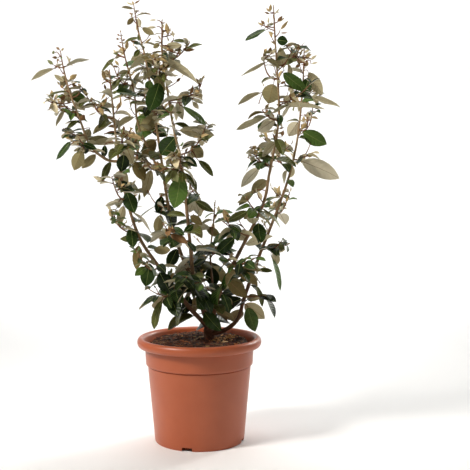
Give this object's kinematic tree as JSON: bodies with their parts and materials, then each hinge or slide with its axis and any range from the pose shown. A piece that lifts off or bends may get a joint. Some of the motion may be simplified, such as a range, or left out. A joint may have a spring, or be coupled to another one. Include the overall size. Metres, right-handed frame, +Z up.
{
  "type": "potted ebbinge silverberry",
  "caption": "Evergreen silverberry shrub, its bare upright stems and silvery leafed side shoots rising from a terracotta-coloured plastic pot.",
  "frame": {"origin": "middle of the pot's flat underside", "axes": "+Z up, +X to the right and -Y towards the viewer of the picture"},
  "size_m": [0.577, 0.3574, 0.8606],
  "materials": {
    "terracotta_plastic": "satin",
    "bark_compost": "matte",
    "silverberry_bark": "matte",
    "leaf_green": "satin",
    "leaf_silver": "matte"
  },
  "bodies": {
    "root": {"bough_far_left": "silverberry_bark", "bough_left_middle": "silverberry_bark", "compost": "bark_compost", "leaves_centre_1": "leaf_green", "leaves_centre_tip": "leaf_green", "leaves_far_left_1": "leaf_silver", "leaves_far_left_2": "leaf_silver", "leaves_far_left_3": "leaf_silver", "leaves_far_left_4": "leaf_silver", "leaves_far_left_tip": "leaf_silver", "leaves_left_inner_1": "leaf_green", "leaves_left_inner_2": "leaf_green", "leaves_left_inner_3": "leaf_silver", "leaves_left_inner_4": "leaf_silver", "leaves_left_inner_5": "leaf_silver", "leaves_left_inner_6": "leaf_silver", "leaves_left_inner_7": "leaf_silver", "leaves_left_inner_8": "leaf_silver", "leaves_left_inner_tip": "leaf_silver", "leaves_left_low_1": "leaf_green", "leaves_left_low_2": "leaf_green", "leaves_left_low_3": "leaf_green", "leaves_left_low_4": "leaf_silver", "leaves_left_low_5": "leaf_silver", "leaves_left_low_6": "leaf_silver", "leaves_left_low_tip": "leaf_silver", "leaves_left_middle_1": "leaf_silver", "leaves_left_middle_tip": "leaf_silver", "leaves_left_tall_1": "leaf_green", "leaves_left_tall_2": "leaf_green", "leaves_left_tall_3": "leaf_silver", "leaves_left_tall_4": "leaf_silver", "leaves_left_tall_5": "leaf_silver", "leaves_left_tall_6": "leaf_silver", "leaves_left_tall_tip": "leaf_silver", "leaves_right_inner_1": "leaf_green", "leaves_right_inner_2": "leaf_green", "leaves_right_inner_3": "leaf_green", "leaves_right_inner_4": "leaf_silver", "leaves_right_inner_5": "leaf_silver", "leaves_right_inner_6": "leaf_silver", "leaves_right_inner_7": "leaf_silver", "leaves_right_inner_8": "leaf_silver", "leaves_right_inner_tip": "leaf_silver", "leaves_right_outer_1": "leaf_green", "leaves_right_outer_2": "leaf_green", "leaves_right_outer_3": "leaf_green", "leaves_right_outer_4": "leaf_silver", "leaves_right_outer_5": "leaf_silver", "leaves_right_outer_6": "leaf_silver", "leaves_right_outer_7": "leaf_silver", "leaves_right_outer_tip": "leaf_silver", "pot": "terracotta_plastic", "stem_centre": "silverberry_bark", "stem_left_inner": "silverberry_bark", "stem_left_low": "silverberry_bark", "stem_left_tall": "silverberry_bark", "stem_right_inner": "silverberry_bark", "stem_right_outer": "silverberry_bark", "trunk": "silverberry_bark"}
  },
  "joints": []
}
